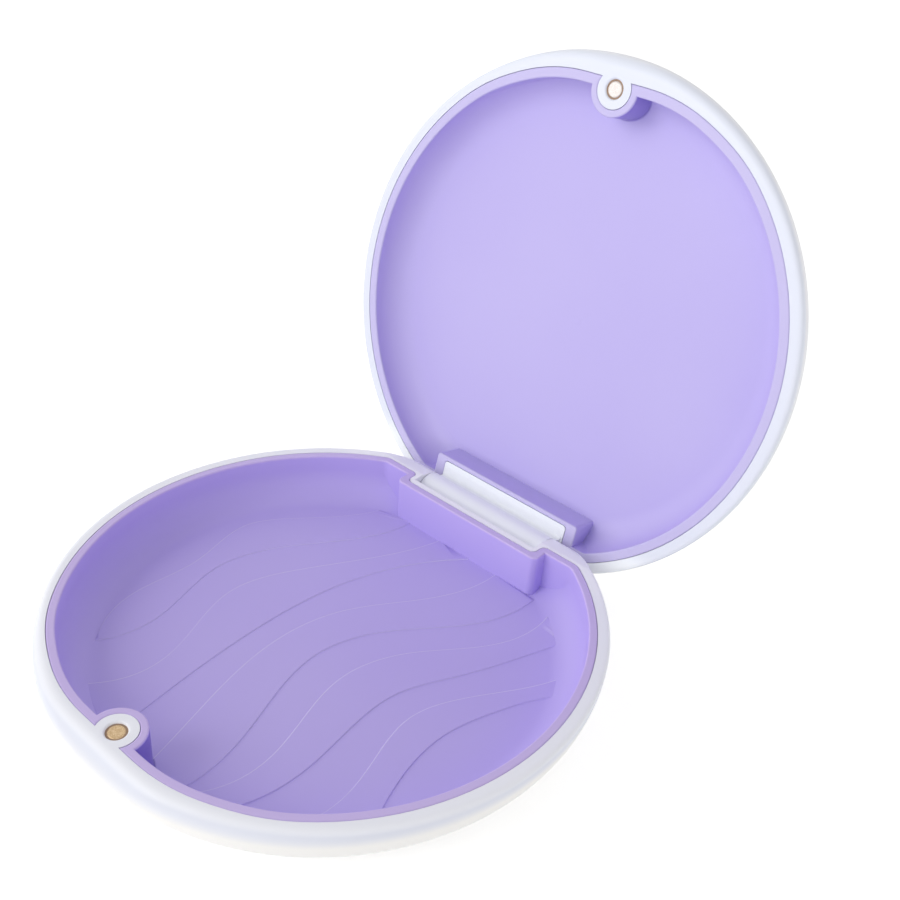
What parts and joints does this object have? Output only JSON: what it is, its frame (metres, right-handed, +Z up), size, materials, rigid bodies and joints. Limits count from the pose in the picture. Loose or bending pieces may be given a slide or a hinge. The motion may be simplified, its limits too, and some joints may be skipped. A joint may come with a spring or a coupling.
{
  "type": "denture case",
  "caption": "Round hinged denture case with white outer shells, lilac liners, a waved floor and a magnet closure, standing open on a flat underside.",
  "frame": {"origin": "centre of the base's flat underside", "axes": "+Z up, out of the base's dish; +Y from the finger bevel towards the hinge; +X along the hinge axis, to the right seen from the front"},
  "size_m": [0.086, 0.1099, 0.084],
  "materials": {
    "white_plastic": "satin moulded white",
    "lilac_plastic": "satin moulded lilac",
    "brass_plate": "plated disc magnet",
    "nickel_plate": "plated disc magnet",
    "pin_steel": "drawn wire"
  },
  "bodies": {
    "base": {"base_shell": "white_plastic", "base_liner": "lilac_plastic", "base_magnet": "brass_plate", "hinge_pin": "pin_steel"},
    "lid": {"lid_shell": "white_plastic", "lid_liner": "lilac_plastic", "lid_magnet": "nickel_plate"}
  },
  "joints": [
    {"name": "lid_hinge", "type": "hinge", "parent": "base", "child": "lid", "pos_m": [0, 0.03694, 0.00777], "axis": [1, 0, 0], "range_deg": [0, 103.84]}
  ]
}
